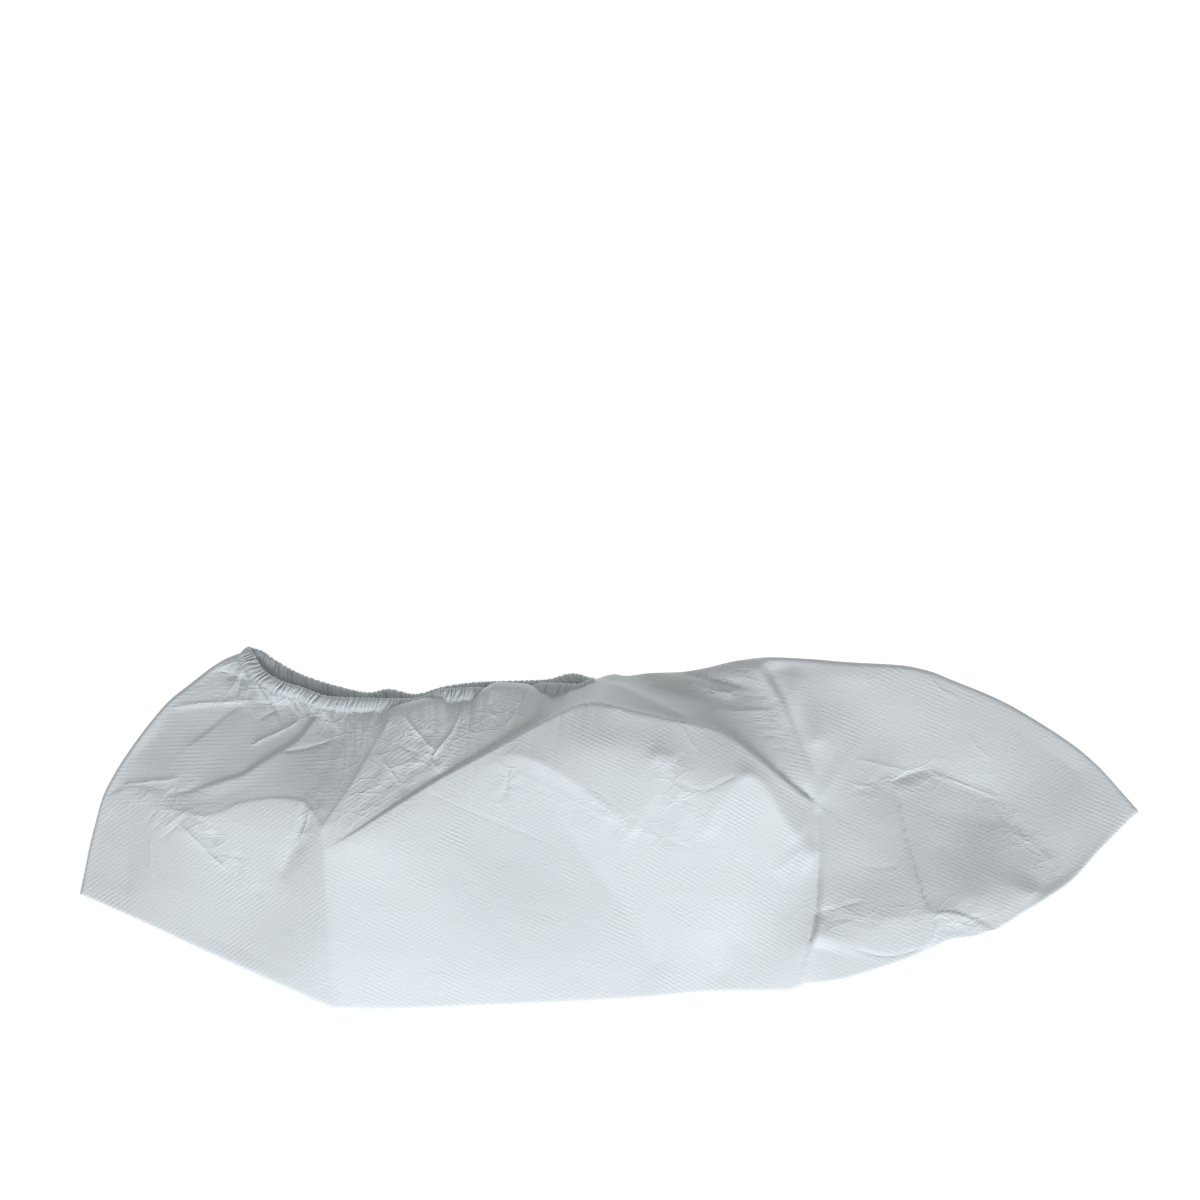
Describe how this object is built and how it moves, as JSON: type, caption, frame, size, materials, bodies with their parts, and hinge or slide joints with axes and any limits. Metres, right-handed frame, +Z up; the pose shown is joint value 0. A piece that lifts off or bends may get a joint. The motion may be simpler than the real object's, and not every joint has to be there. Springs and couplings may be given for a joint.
{
  "type": "chemo shoe cover",
  "caption": "Disposable laminated fabric shoe cover lying folded on its side, with a pointed toe, a slanted heel and a gathered elastic ankle opening.",
  "frame": {"origin": "middle of the footprint on the table, which is the plane that the under side panel lies on", "axes": "+X from the heel to the toe, +Y from the sole seam to the ankle opening, +Z up out of the table"},
  "size_m": [0.4, 0.1373, 0.02],
  "materials": {
    "laminate": "satin",
    "elastic": "matte"
  },
  "bodies": {
    "root": {"upper_side_panel": "laminate", "under_side_panel": "laminate", "hem_casing": "laminate", "elastic_band": "elastic"}
  },
  "joints": []
}
